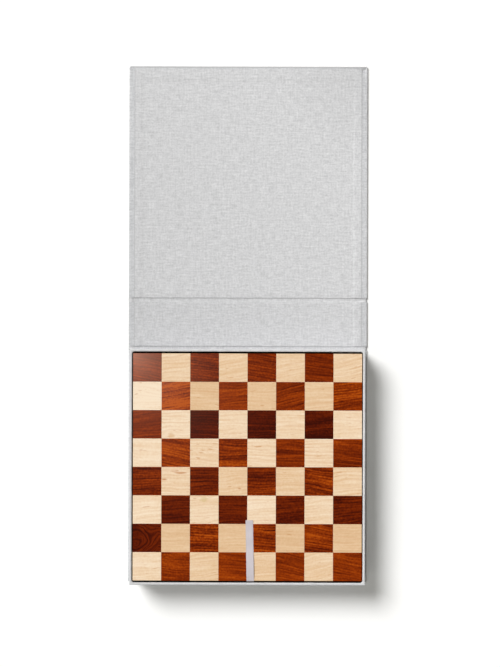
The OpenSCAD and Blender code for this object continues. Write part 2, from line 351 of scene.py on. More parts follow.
def cloth_finish(name, dark, pale, pale_for_wear_and_light, painted_shade_colour):
    """Book cloth: linen threads between two tones. It is paler where hands wear its edges, and
    paler in the grooves as painted light. Painted shade darkens some bends and edges, and changes
    its tone a little over the whole case."""
    material, tree = new_finish(name, 0.86, 0.1, sheen=0.04)
    weave = use_group(tree, LINEN_WEAVE, {
        "Vector": flat_place(tree), "Speckle": 0.44, "Weft slubs": 0.54, "Warp slubs": 0.4,
    })
    wear_and_light_mask = use_group(tree, WEAR_AND_LIGHT_EDGE, {
        "Vector": object_place(tree), "Wear and painted light": attribute(tree, "wear_and_painted_light"), "Amount": 0.5,
    })
    woven = mix_colour(tree, spread(tree, weave["Tone"], 0.2, 0.8), dark, pale)
    # Paler for wear at the edges, and as painted light in the grooves.
    with_wear_and_light = mix_colour(tree, wear_and_light_mask["Mask"], woven, pale_for_wear_and_light)
    # Painted shade along some bends, edges and groove ends.
    with_painted_shade = mix_colour(tree, attribute(tree, "painted_shade"), with_wear_and_light, painted_shade_colour)
    # Painted shade over the whole case, multiplied into the cloth's colour.
    with_case_shade = mix_colour(tree, 1.0, with_painted_shade, attribute(tree, "painted_case_shade", "Color"), "MULTIPLY")
    return coat(material, with_case_shade, weave["Height"], 0.35, 0.12 * MM)


def board_grain(tree, lines, waviness, wander, streak, band, fibre, pore, level):
    """The grain of the board's squares, driven by what each square carries, and the tone that
    its streaks, bands, fibres and pores give about a level, each by its own amount."""
    grain = use_group(tree, WOOD_GRAIN, {
        "Vector": object_place(tree), "Shift": attribute(tree, "grain_shift", "Vector"),
        "Tilt": attribute(tree, "grain_tilt"), "Lines per metre": lines,
        "Waviness": waviness, "Wander": wander, "Knot": attribute(tree, "knot"),
        "Knot centre": KNOT_CENTRE,
    })
    streaks = spread(tree, grain["Streak"], 0.25, 0.75, level - streak, level + streak)
    bands = spread(tree, grain["Band"], 0.3, 0.7, -band, band)
    fibres = swing(tree, grain["Fibre"], fibre, maths(tree, "ADD", streaks, bands))
    return grain, swing(tree, grain["Pore"], pore, fibres)


def dark_wood_finish():
    """Oiled red-brown hardwood with orange bands, thin dark growth lines and short pores. A
    painted sheen, a pale light's reflection, is added towards the far left corner of the board."""
    material, tree = new_finish("Dark hardwood", 0.34, 0.03)
    grain, lively = board_grain(
        tree, lines=290.0, waviness=1.7, wander=8 * MM,
        streak=0.58, band=0.26, fibre=0.7, pore=1.0, level=0.16,
    )
    lively = maths(tree, "MULTIPLY_ADD", grain["Line"], -0.5, lively)
    tone = maths(tree, "MULTIPLY_ADD", lively, attribute(tree, "figure"), attribute(tree, "tone"))
    # Painted sheen: a pale reflection added to the colour, weaker with distance from the far left
    # corner.
    apart = vector_maths(tree, "DISTANCE", object_place(tree), PAINTED_SHEEN_CORNER)
    painted_sheen = maths(tree, "EXPONENT", maths(tree, "DIVIDE", apart, -PAINTED_SHEEN_REACH))
    with_painted_sheen = mix_colour(tree, painted_sheen, ramp(tree, tone, DARK_TONES), PAINTED_SHEEN_COLOUR, "ADD")
    return coat(material, with_painted_sheen, grain["Fibre"], 0.15, 0.05 * MM)


def light_wood_finish():
    """Maple: close pale grain, thin tan growth lines, a few short brown flecks, and the marks
    that stand out, each with a ragged edge."""
    material, tree = new_finish("Light hardwood", 0.34, 0.05)
    grain, lively = board_grain(
        tree, lines=225.0, waviness=2.8, wander=12 * MM,
        streak=0.22, band=0.05, fibre=0.25, pore=0.36, level=0.05,
    )
    colour = ramp(tree, maths(tree, "ADD", lively, attribute(tree, "tone")), LIGHT_TONES)
    line = maths(tree, "MULTIPLY", grain["Line"], attribute(tree, "figure"))
    colour = mix_colour(tree, line, colour, LIGHT_LINE)
    fleck = spread(tree, grain["Fleck"], 0.69, 0.75, 0.0, 0.5)
    colour = mix_colour(tree, fleck, colour, LIGHT_FLECK)
    for middle, along, across, strength, mark_colour in LIGHT_MARKS:
        away = vector_maths(tree, "SUBTRACT", object_place(tree), (*middle, MARKS_Z))
        squeezed = vector_maths(tree, "MULTIPLY", away, (across / along, 1, 0))
        apart = vector_maths(tree, "LENGTH", squeezed)
        ragged = swing(tree, grain["Fleck"], 1.25 * across, apart)
        mark = spread(tree, ragged, 0.4 * across, across, strength, 0.0)
        colour = mix_colour(tree, mark, colour, mark_colour)
    return coat(material, colour, grain["Fibre"], 0.1, 0.04 * MM)


def plywood_finish():
    """Birch plywood: face grain on top and below, thin plies on the edge."""
    material, tree = new_finish("Plywood", 0.6, 0.2)
    at = object_place(tree)
    grain = use_group(tree, WOOD_GRAIN, {"Vector": at, "Lines per metre": 120.0})
    turns = maths(tree, "MULTIPLY", split(tree, at)["Z"], math.pi / PLY_T)
    ply = spread(tree, maths(tree, "SINE", turns), -0.3, 0.3, 0.0, 0.35)
    colour = mix_colour(tree, grain["Streak"], (0.50, 0.34, 0.18, 1), (0.72, 0.54, 0.34, 1))
    shaded = mix_colour(tree, ply, colour, (0.34, 0.20, 0.10, 1))
    return coat(material, shaded, grain["Fibre"], 0.2, 0.06 * MM)


def fibre_board_finish(name, dark, pale, roughness, specular, bump_strength):
    """Pressed board or card: short fibres and small specks on Object coordinates."""
    material, tree = new_finish(name, roughness, specular)
    at = object_place(tree)
    fibres = noise(tree, at, (900, 350, 900), 4.0, 0.65)
    clouds = noise(tree, at, (60, 60, 60))
    tone = maths(tree, "MULTIPLY_ADD", clouds, 0.4, maths(tree, "MULTIPLY", fibres, 0.6))
    colour = mix_colour(tree, spread(tree, tone, 0.3, 0.7), dark, pale)
    return coat(material, colour, fibres, bump_strength, 0.1 * MM)


def ribbon_finish():
    """Satin ribbon: fine ribs along it, a corded edge on each side."""
    material, tree = new_finish("Satin ribbon", 0.42, 0.35, sheen=0.1)
    at = flat_place(tree)
    satin = noise(tree, at, (2600, 60, 0), 2.0, 0.6)
    clouds = noise(tree, at, (60, 40, 0))
    cord = spread(tree, maths(tree, "ABSOLUTE", split(tree, at)["X"]), 4.1 * MM, 4.5 * MM)
    tone = maths(tree, "MULTIPLY_ADD", clouds, 0.5, maths(tree, "MULTIPLY", satin, 0.5))
    colour = mix_colour(
        tree, spread(tree, tone, 0.3, 0.7), (0.500, 0.455, 0.482, 1), (0.655, 0.600, 0.625, 1)
    )
    edged = mix_colour(tree, maths(tree, "MULTIPLY", cord, 0.35), colour, (0.42, 0.385, 0.41, 1))
    height = maths(tree, "MULTIPLY_ADD", cord, 0.8, satin)
    return coat(material, edged, height, 0.25, 0.08 * MM)


BOOK_CLOTH = cloth_finish(
    "Grey book cloth", (0.453, 0.459, 0.478, 1), (0.760, 0.763, 0.780, 1),
    (0.78, 0.78, 0.78, 1), (0.44, 0.44, 0.45, 1),
)
LINER_CLOTH = cloth_finish(
    "Grey lining cloth", (0.485, 0.486, 0.500, 1), (0.800, 0.800, 0.815, 1),
    (0.80, 0.80, 0.79, 1), (0.46, 0.46, 0.47, 1),
)
DARK_WOOD = dark_wood_finish()
LIGHT_WOOD = light_wood_finish()
PLYWOOD = plywood_finish()
GREYBOARD = fibre_board_finish(
    "Greyboard", (0.20, 0.19, 0.165, 1), (0.34, 0.32, 0.28, 1), 0.9, 0.15, 0.3
)
BLACK_LINING = fibre_board_finish(
    "Black lining paper", (0.004, 0.004, 0.0045, 1), (0.014, 0.014, 0.016, 1), 0.8, 0.2, 0.25
)
BLACK_CARD = fibre_board_finish(
    "Black card", (0.006, 0.006, 0.007, 1), (0.020, 0.020, 0.022, 1), 0.72, 0.25, 0.2
)
RIBBON = ribbon_finish()


# ---- Places on the case ----

case_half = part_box("base_cloth")[1][X]
base_rear_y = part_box("base_cloth")[1][Y]
spine_axis_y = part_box("spine_cloth")[0][Y]
lid_axis_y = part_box("spine_cloth")[1][Y]
lid_near_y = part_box("lid_cloth")[0][Y]
lid_far_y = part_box("lid_cloth")[1][Y]
tray_rear_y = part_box("tray_cloth")[1][Y]
fold_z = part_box("base_hinge_strip")[1][Z]


# ---- Mesh helpers ----

# Painted shade over the cloth of the open case: its level, and how that changes over the case.
MIDDLE_PAINTED_LEVEL, RIGHT_GAIN = 0.968, 0.035
NEAR_PAINTED_LEVEL, FAR_GAIN = 0.975, 0.06
SPINE_PAINTED_SHADE, SPINE_RIGHT_GAIN = 0.05, 0.02
CORNER_PAINTED_SHADE, CORNER_REACH = 0.10, 150 * MM
SHARP_EDGE = math.radians(50)  # a sharper bend than this between two faces stays an edge
SAME_SPOT = 0.004 * MM
NO_AREA = 0.002 * MM


def arc(centre, radius, start, stop, steps):
    """Points on an arc, with its angles in degrees."""
    return [
        (centre[0] + radius * math.cos(a), centre[1] + radius * math.sin(a))
        for a in np.radians(np.linspace(start, stop, steps + 1))
    ]


def running_length(points):
    """Length along a line of points, up to each of them."""
    steps = [math.dist(a, b) for a, b in zip(points, points[1:])]
    return [0.0, *np.cumsum(steps)]


def soft_step(value):
    value = min(max(value, 0.0), 1.0)
    return value * value * (3 - 2 * value)


def painted_case_shade(x, y):
    """Painted shade: the share of its full tone that the cloth is painted with at a place on the
    open case. It is darker to the left and towards the lid's groove, the spine more, and the far
    right corner too."""
    sideways = x / case_half
    along = min(max((y - lid_near_y) / (lid_far_y - lid_near_y), 0.0), 1.0)
    painted_level = (MIDDLE_PAINTED_LEVEL + RIGHT_GAIN * sideways) * (NEAR_PAINTED_LEVEL + FAR_GAIN * along)
    far_right = math.hypot(case_half - x, lid_far_y - y)
    painted_level -= CORNER_PAINTED_SHADE * soft_step(1 - far_right / CORNER_REACH)
    on_spine = soft_step((lid_near_y - y) / (3 * MM)) * soft_step((y - tray_rear_y) / MM)
    return painted_level * (1 - (SPINE_PAINTED_SHADE - SPINE_RIGHT_GAIN * sideways) * on_spine)


def bake_modifiers(piece):
    """Turns a piece's modifiers into its mesh."""
    whole = bpy.context.evaluated_depsgraph_get()
    made = bpy.data.meshes.new_from_object(
        piece.evaluated_get(whole), preserve_all_data_layers=True, depsgraph=whole
    )
    made.name = piece.name
    piece.modifiers.clear()
    piece.data = made


def clean_mesh(mesh, finished):
    """Merges doubled points. A finished mesh also gets the direction of its faces worked out
    anew, which turns those of the spine's cover inwards and all others outwards, and is
    smoothed over all but its sharp edges."""
    work = bmesh.new()
    work.from_mesh(mesh)
    bmesh.ops.remove_doubles(work, verts=work.verts, dist=SAME_SPOT)
    bmesh.ops.dissolve_degenerate(work, edges=work.edges, dist=NO_AREA)
    if finished:
        bmesh.ops.recalc_face_normals(work, faces=work.faces)
        for face in work.faces:
            face.smooth = True
        for edge in work.edges:
            edge.smooth = len(edge.link_faces) == 2 and edge.calc_face_angle(0) < SHARP_EDGE
    work.to_mesh(mesh)
    work.free()


class Cloth:
    """Spots on a cloth, each with its point, its flat place, its paleness for wear and painted
    light, and its painted shade, and the faces between them. Where a cloth closes on itself, or
    its flat places change over at a mitre, its spots are doubled, and the mesh has them merged."""

    def __init__(self):
        self.spots, self.faces = [], []

    def face(self, spots):
        first = len(self.spots)
        self.faces.append(tuple(range(first, first + len(spots))))
        self.spots += spots

    def strip(self, spot, columns, rows):
        """Adds the spot of each column and row, and the faces between neighbouring columns."""
        tall = len(rows)
        for number, column in enumerate(columns, 1):
            first = len(self.spots)
            self.spots += [spot(column, row) for row in rows]
            if number < len(columns):
                self.faces += [
                    (k, k + tall, k + tall + 1, k + 1) for k in range(first, first + tall - 1)
                ]
        return self

    def piece(self, name, finish, thickness=None):
        """The cloth as a piece. A thickness goes inwards from the outer face, so that it ends
        up as a closed skin."""
        points, flat, wear_and_painted_light, painted_shade = zip(*self.spots)
        mesh = bpy.data.meshes.new(name)
        mesh.from_pydata(points, [], self.faces)
        layer = mesh.uv_layers.new(name="Weave")
        corners = [k for face in self.faces for k in face]
        for corner, k in zip(layer.data, corners):
            corner.uv = flat[k]
        # Painted shade over the case, at each point.
        painted_level = [painted_case_shade(x, y) for x, y, _ in points]
        for label, values in (("wear_and_painted_light", wear_and_painted_light), ("painted_shade", painted_shade), ("painted_case_shade", painted_level)):
            mesh.attributes.new(label, "FLOAT", "POINT").data.foreach_set("value", values)
        mesh.materials.append(finish)
        piece = bpy.data.objects.new(name, mesh)
        bpy.context.scene.collection.objects.link(piece)
        if thickness:
            clean_mesh(mesh, finished=False)
            skin = piece.modifiers.new("Cloth thickness", "SOLIDIFY")
            skin.thickness = thickness
            skin.offset = -1
            skin.use_even_offset = False
            bake_modifiers(piece)
        clean_mesh(piece.data, finished=True)
        return piece


# ---- Book cloth on the case boards ----

CLOTH_T = 0.4 * MM
SKIN_T = 0.3 * MM  # of the cloth as it is modelled here, so that its faces clear the boards
EDGE_R = 1.2 * MM  # bend of the cloth round the edge of a board
CORNER_R = 1.9 * MM
TURN_IN = 18.4 * MM
MITRE_SEAM = 0.25 * MM
SEAM_DEPTH = 0.28 * MM
SIDE_STATIONS, CORNER_STATIONS, FAR_STATIONS = 14, 7, 16
BOTTOM_MARGIN = 24 * MM  # the underside's outer band, whose cloth is divided up with the edges
FOLD_LAP = 0.6 * MM  # how far the cloth in a groove runs on past its fold
LINING_SAG = 2.0 * MM  # height of a groove's lining in its middle
LINING_RISE = 0.9 * MM  # how much higher it is at the edges of the two boards
LINING_FULLER = 0.45 * MM  # how much higher it is past the inner cloth's sides
LINING_LAP = 0.42 * MM  # how far it runs in over a board's bend
LINER_STEP = 0.36 * MM  # from the inner cloth over the turn-ins down to the bare board
LINER_SINK = 0.04 * MM  # pressed into the cloth below
LEFT_STEP_WIDTH, RIGHT_STEP_WIDTH, FAR_STEP_WIDTH = 6.5 * MM, 2.6 * MM, 7 * MM
# Places beside the ridges of the turn-ins, where the inner cloth needs more of them.
RIDGE = np.array([-2.4, -1.4, -0.9, -0.45, 0.0, 0.45, 0.9, 1.4, 2.4]) * MM
FAR_RIDGE = np.array([-3.5, -2.3, -1.1, 0.0, 1.1, 2.3, 3.5]) * MM


def both_sides(half, margin, count, beside):
    """Places across a cloth: evenly in the middle, and beside each edge as given for one."""
    middle = np.linspace(margin - half, half - margin, count)
    return sorted({*middle, *beside, *(-x for x in beside)})


def edge_profile(height):
    """Section of a cover round a case board: (distance in from its outer face, height)."""
    lower = arc((EDGE_R, EDGE_R), EDGE_R, 270, 180, 5)
    upper = arc((EDGE_R, height - EDGE_R), EDGE_R, 180, 90, 5)
    top = [(x * MM, height) for x in (3, 6, 10, 14)] + [(TURN_IN - 0.1 * MM, height)]
    free_edge = [(TURN_IN, height - 0.1 * MM), (TURN_IN, height - 0.35 * MM)]
    return [(BOTTOM_MARGIN, 0.0), *lower, *upper, *top, *free_edge]


def cover_strips(height, fore_edge):
    """The strips of a cover's band: the left, the fore edge and the right, which meet at the
    mitres. Each has stations: (side, part of the edge, share or distance, greatest height).

    A spine has a groove in place of its fore edge, and so only two strips."""
    groove_end = [(0.0, fold_z), *arc((EDGE_R, height - EDGE_R), EDGE_R, 180, 90, 5)]
    left = [(-1, "near", s, limit) for s, limit in groove_end]
    left += [(-1, "side", t, height) for t in np.linspace(0, 1, SIDE_STATIONS)[1:-1]]
    if fore_edge:
        left.append((-1, "side", 1.0, height))
        corner = [(-1, "corner", t, height) for t in np.linspace(0, 1, CORNER_STATIONS)[1:-1]]
        mitre = len(corner) // 2
        left += corner[:mitre + 1]
        far = corner[mitre:] + [(-1, "far", t, height) for t in np.linspace(0, 1, FAR_STATIONS)]
        far += [(1, *station[1:]) for station in corner[:mitre - 1:-1]]
    else:
        left += [(-1, "end", s, limit) for s, limit in reversed(groove_end)]
        far = []
    right = [(1, *station[1:]) for station in reversed(left)]
    return [strip for strip in (left, far, right) if strip]


def board_cover(name, body, node, hinge_y, direction, fore_edge):
    """The outer cloth of one case board, from its groove at hinge_y towards direction. Strips
    are the pieces of the same cloth in its groove.

    The cloth bends up round the sides and the fore edge, and its turn-ins meet at a mitre. A
    spine has no fore edge: it has a groove at both ends.
    """
    low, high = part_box(node)
    half, height = high[X], high[Z]
    length = high[Y] - low[Y]
    profile = edge_profile(height)
    reach = running_length(profile)
    rows = list(zip(profile, reach))
    lap = 0.0 if fore_edge else FOLD_LAP

    def plan(part, t, d):
        """A spot d in from the edges of the left side: (x, distance from the groove)."""
        seam = max(CORNER_R, d + MITRE_SEAM)
        side_end = length - (seam if fore_edge else EDGE_R)
        if part == "near":
            return d - half, t
        if part == "end":
            return d - half, length - t
        if part == "side":
            return d - half, EDGE_R + t * (side_end - EDGE_R)
        if part == "far":
            return (seam - half) * (1 - 2 * t), length - d
        if d < CORNER_R:
            turn = math.radians(180 - 90 * t)
            r = CORNER_R - d
            return CORNER_R - half + r * math.cos(turn), length - CORNER_R + r * math.sin(turn)
        return (1 - t) * (d - half) + t * (seam - half), (1 - t) * side_end + t * (length - d)

    def spot(station, row, on_far):
        side, part, t, limit = station
        (d, z), past_rim = row
        x, s = plan(part, t, d)
        x *= -side
        if z < SKIN_T:  # the underside of a spine leaves room for the cloth of the folds
            s = min(max(s, lap), length - lap)
        top = min(z, limit)
        if part == "corner" and d > CORNER_R and z > height / 2:
            top -= SEAM_DEPTH * math.sin(math.pi * t)
        bent = 0 < z < height - 0.01 * MM or d < 0.9 * EDGE_R
        wear_and_painted_light = 1.0 if bent and d < 2 * EDGE_R and part != "far" else 0.0
        # Painted shade darkens the bend round the fore edge.
        painted_shade = 0.75 if d < 1.5 * EDGE_R and part == "far" else 0.0
        inwards = BOTTOM_MARGIN - past_rim
        flat = (x, length - inwards) if on_far else (side * (half - inwards), s)
        return (x, hinge_y + direction * s, top), flat, wear_and_painted_light, painted_shade

    cloth = Cloth()
    rim = {}  # the first point of each column, once
    for stations in cover_strips(height, fore_edge):
        on_far = any(part == "far" for _, part, _, _ in stations)
        rim.update((spot(station, rows[0], on_far)[0], True) for station in stations)
        if direction > 0:
            stations.reverse()
        cloth.strip(lambda station, row: spot(station, row, on_far), stations, rows)
    underside = [((x, y, z), (x, direction * (y - hinge_y)), 0.0, 0.0) for x, y, z in rim]
    cloth.face(underside[::-1] if direction < 0 else underside)
    cover = cloth.piece(name, BOOK_CLOTH, SKIN_T)
    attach(cover, body)
    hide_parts(node)


def board_liner(name, body, node, turn_in_s):
    """The inner cloth of the lid or the spine. It lies over the turn-ins, steps down inside
    them, and bends down into each groove, where strips of the same cloth go on. The ridge of
    the fore edge's turn-in lies turn_in_s from the groove, and a spine has None, but two
    grooves."""
    low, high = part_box(node)
    half, top, length = high[X], high[Z], high[Y] - low[Y]
    ridge_x = case_half - TURN_IN
    beside = [*(ridge_x + RIDGE), *(half - d * MM for d in (0, 0.5, 1.5, 3))]
    turns = np.radians(np.linspace(0, 90, 6))
    bend = [(0.0, None)]  # (distance from the groove, drop), or None at the bottom of the groove
    bend += [(EDGE_R * (1 - math.cos(a)), EDGE_R * (1 - math.sin(a))) for a in turns]
    if turn_in_s is None:
        level = [*np.linspace(EDGE_R, length - EDGE_R, 12)[1:-1]]
        far_bend = [(length - s, drop) for s, drop in reversed(bend)]
    else:
        level = sorted([*np.linspace(EDGE_R, length, 40)[1:], *(turn_in_s + FAR_RIDGE)])
        far_bend = []
    rows = bend + [(s, 0.0) for s in level] + far_bend
    reach = running_length([(s, fold_z if drop is None else top - drop) for s, drop in rows])

    def height(x, s):
        wander = 0.22 * MM * math.sin(31 * s + 2 * x) + 0.12 * MM * math.sin(83 * s + 1.3)
        step_width = RIGHT_STEP_WIDTH if x > 0 else LEFT_STEP_WIDTH
        raised = soft_step((abs(x) - ridge_x - wander) / step_width + 0.5)
        if turn_in_s is not None:
            drift = 0.2 * MM * math.sin(27 * x + 0.7) + 0.12 * MM * math.sin(71 * x)
            raised = max(raised, soft_step((s - turn_in_s - drift) / FAR_STEP_WIDTH + 0.5))
        press = 0.02 * MM * (math.sin(47 * x + 13 * s) + math.sin(61 * s - 21 * x + 2))
        return top - LINER_SINK + (press - LINER_STEP) * (1 - raised)

    def spot(x, row):
        (s, drop), flat_s = row
        z = fold_z if drop is None else height(x, s) - drop
        # Painted shade darkens its bends into the grooves a little, and its sides more.
        painted_shade = 0.2 if drop is None or drop > 0 else 0.0
        if abs(x) > half - MM:
            painted_shade = 0.6
        return (x, low[Y] + s, z), (x, flat_s), 0.0, painted_shade

    cloth = Cloth().strip(spot, both_sides(ridge_x, 4 * MM, 40, beside), list(zip(rows, reach)))
    liner = cloth.piece(name, LINER_CLOTH, SKIN_T)
    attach(liner, body)
    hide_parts(node)


def fold_cloth(name, node, axis_y, still_side):
    """The two layers of cloth in a groove. The outer layer runs on past the fold at axis_y, so
    the fold stays covered from outside. The side of the still body is still_side: -1 where its
    groove lies before the fold."""
    low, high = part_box(node)
    half, thick = high[X], high[Z]
    groove_y = (low[Y] if still_side < 0 else high[Y]) + still_side * 0.1 * MM
    outer = [axis_y - still_side * FOLD_LAP * share for share in np.linspace(1, 0, 9)]
    section = [(y, 0.0) for y in outer] + [(groove_y, 0.0), (groove_y, thick), (axis_y, thick)]
    section += [(y, CLOTH_T) for y in reversed(outer)]
    section.append(section[0])
    tuck = 0.2 * MM  # how far its ends are rounded in

    def spot(x, row):
        (y, z), s = row
        if abs(x) > half - 0.01 * MM:
            z = min(max(z, tuck), thick - tuck)
        # Painted shade darkens the last millimetre at each end.
        painted_shade = 1.0 if abs(x) > half - MM else 0.0
        # Painted light: away from its ends the cloth in the groove is painted paler all over.
        return (x, y, z), (x, s), 1.0 - painted_shade, painted_shade

    rows = list(zip(section, running_length(section)))
    xs = both_sides(half, 8 * MM, 26, [half, half - 0.6 * MM, half - 1.5 * MM])
    cloth = Cloth().strip(spot, xs, rows)
    for x in (-half, half):
        end = [spot(x, row) for row in rows[:-1]]
        cloth.face([(point, point[Y:], wear_and_painted_light, painted_shade) for point, _, wear_and_painted_light, painted_shade in end])
    strip = cloth.piece(name, BOOK_CLOTH)
    start, end = (axis_y, axis_y + FOLD_LAP) if still_side < 0 else (axis_y - FOLD_LAP, axis_y)
    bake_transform(strip)
    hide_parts(node)
    return strip


def groove_lining(name, node, near, far):
    """The inner cloth over one groove, and the turned-in cloth at its two ends. It sags between
    the edges of its two boards, and comes down to the outer cloth at the sides of the case."""
    half = case_half - SKIN_T
    inner_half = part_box("lid_liner")[1][X]
    beside = [half - k * MM for k in (0, 0.3, 0.7, 1.2, 1.8, 2.6, 4, 6, 7, 8, 9)]

    def spot(x, y):
        lift = 0.1 + 0.9 * soft_step((half - abs(x)) / (2.6 * MM)) ** 0.5
        rise = LINING_RISE + 0.08 * MM * math.sin(41 * x + 90 * near)
        middle = LINING_SAG + LINING_FULLER * soft_step((abs(x) - inner_half) / (2 * MM) + 0.5)
        from_middle = abs(2 * (y - near) / (far - near) - 1)
        height = middle + rise * from_middle ** 3
        at_end = soft_step((abs(x) - half) / (1.5 * MM) + 1)
        # Painted shade darkens it near the edges of its boards and at its ends.
        painted_shade = max(0.4 * from_middle ** 6, 0.5 * at_end)
        return (x, y, fold_z + lift * (height - fold_z)), (x, y), 0.0, painted_shade

    xs = both_sides(half, 12 * MM, 30, beside)
    cloth = Cloth().strip(spot, xs, np.linspace(near, far, 13))
    lining = cloth.piece(name, LINER_CLOTH, SKIN_T)
    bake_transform(lining)
    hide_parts(node)
    return lining


spine_fold = fold_cloth(
    "spine_fold_cloth", "base_hinge_strip", spine_axis_y, -1
)
lid_fold = fold_cloth("lid_fold_cloth", "lid_hinge_strip", lid_axis_y, 1)
spine_lining = groove_lining(
    "spine_groove_lining", "base_hinge_strip", tray_rear_y - MM, spine_axis_y + LINING_LAP,
)
lid_lining = groove_lining(
    "lid_groove_lining", "lid_hinge_strip", lid_axis_y - LINING_LAP, lid_near_y + LINING_LAP,
)
board_cover("base_cover", "base", "base_cloth", base_rear_y, -1, True)
board_cover("spine_cover", "spine", "spine_cloth", spine_axis_y, 1, False)
board_cover("lid_cover", "lid", "lid_cloth", lid_near_y, 1, True)
board_liner(
    "lid_inner_cloth", "lid", "lid_liner", lid_far_y - TURN_IN - lid_near_y
)
board_liner("spine_inner_cloth", "spine", "spine_liner", None)


# ---- Cloth of the tray ----

RIM_R = 1.1 * MM  # inner bend of the cloth over the wall
TRAY_CORNER_R = 3.2 * MM  # corner of the cloth down inside
CORNER_FOLD = 0.16 * MM  # dent in the rim at each corner
RIM_RIPPLE = 0.05 * MM


def tray_cover():
    """One length of cloth round the four walls, over the rim and a little way down inside."""
    low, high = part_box("tray_cloth")
    half, top = high[X], high[Z]
    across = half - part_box("right_wall")[0][X] + CLOTH_T
    profile = [(0.0, z) for z in (low[Z], low[Z] + 6 * MM, top / 2, top - 6 * MM)]
    profile += arc((EDGE_R, top - EDGE_R), EDGE_R, 180, 90, 6)
    profile += arc((across - RIM_R, top - RIM_R), RIM_R, 90, 0, 6)
    profile.append((across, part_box("wall_lining")[1][Z] - 0.2 * MM))
    reach = running_length(profile)
    # Stations round the tray: (distance in sides of the tray, quarter, on a corner, share of it)
    stations = []
    for quarter in range(4):
        stations += [(quarter + t, quarter, False, t) for t in np.linspace(0, 1, 18)]
        stations += [
            (quarter + 1 + 0.02 * t, quarter, True, t) for t in np.linspace(0, 1, 8)[1:-1]
        ]
    stations.append((4, 0, False, 0.0))

    def spot(station, row):
        sides, quarter, on_corner, t = station
        (d, z), up = row
        r = EDGE_R + (TRAY_CORNER_R - EDGE_R) * soft_step(d / across)
        edge = half - d
        angle = math.radians(90 + 90 * t) if on_corner else math.radians(90)
        x = (edge - r) * (-1 if on_corner else 1 - 2 * t) + r * math.cos(angle)
        y = edge - r + r * math.sin(angle)
        on_rim = z > top - EDGE_R
        if on_corner and z > top - 0.3 * MM:
            z -= CORNER_FOLD * math.exp(-(((t - 0.5) / 0.16) ** 2))
        if on_rim:
            z -= RIM_RIPPLE * abs(math.sin(9 * x / half + quarter))
        turn = math.radians(90 * quarter)
        x, y = x * math.cos(turn) - y * math.sin(turn), x * math.sin(turn) + y * math.cos(turn)
        return (x, y, z), (2 * half * sides, up), 1.0 if on_rim else 0.15, 0.0

    cloth = Cloth().strip(spot, stations, list(zip(profile, reach)))
    cover = cloth.piece("tray_cover", BOOK_CLOTH, SKIN_T)
    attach(cover, "base")
    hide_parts("tray_cloth")


tray_cover()


# ---- Ribbon ----

RIBBON_T = 0.28 * MM
RIBBON_WIDTH = 0.985  # share of its CAD width
RIBBON_SLANT = -1.5 * MM  # how far its free end lies to the left
RIBBON_CUP = 0.05 * MM  # how far its edges droop


def ribbon_path():
    """Middle line of the ribbon in the YZ plane, from its glued end to its free end."""
    low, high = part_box("ribbon_pull")
    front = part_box("board_backing")[0][Y]
    under, face = low[Z] + CLOTH_T / 2, high[Z] - CLOTH_T / 2
    low_r, top_r = 0.9 * MM, 1.9 * MM
    line = [(y, under) for y in np.linspace(front + 43 * MM, front + 2 * MM, 10)]
    line += arc((front + 0.1 * MM, under + low_r), low_r, 270, 190, 6)
    line += [(front - 0.95 * MM, z) for z in np.linspace(under + 2.4 * MM, face - 2.6 * MM, 5)]
    start = front + 0.9 * MM
    line += arc((start, face + 0.3 * MM - top_r), top_r, 176, 90, 9)
    for t in np.linspace(0, 1, 44)[1:]:
        arch = 1.35 * MM * math.exp(-(((t - 0.2) / 0.2) ** 2))
        ripple = 0.1 * MM * math.sin(11 * t + 0.4) ** 2
        curl = 0.5 * MM * soft_step((t - 0.9) / 0.1)
        settling = 0.3 * MM * max(0.0, 1 - 9 * t)
        z = face + settling + (arch + ripple) * soft_step(14 * t) + curl
        line.append((start + t * (high[Y] - start), z))
    return line


def pull_ribbon():
    """The ribbon, cut square at its free end, which lies a little aslant on the board."""
    low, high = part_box("ribbon_pull")
    middle, half = (low[X] + high[X]) / 2 + 0.2 * MM, (high[X] - low[X]) / 2
    line = ribbon_path()
    reach = running_length(line)
    face_z = high[Z] - CLOTH_T
    start = next(s for (y, z), s in zip(line, reach) if z > face_z)

    def spot(c, row):
        (y, z), s = row
        aslant = RIBBON_SLANT * max(0.0, (s - start) / (reach[-1] - start))
        cup = RIBBON_CUP * c * c if z > face_z else 0.0
        point = (middle + aslant + c * half * RIBBON_WIDTH, y, z - cup)
        return point, (c * half, s), 0.0, 0.0

    cloth = Cloth().strip(spot, np.linspace(-1, 1, 9), list(zip(line, reach)))
    ribbon = cloth.piece("pull_ribbon", RIBBON, RIBBON_T)
    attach(ribbon, "chessboard")
    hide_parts("ribbon_pull")


# ---- Squares of the board ----

EASE = 0.12 * MM  # at the top edges of each square


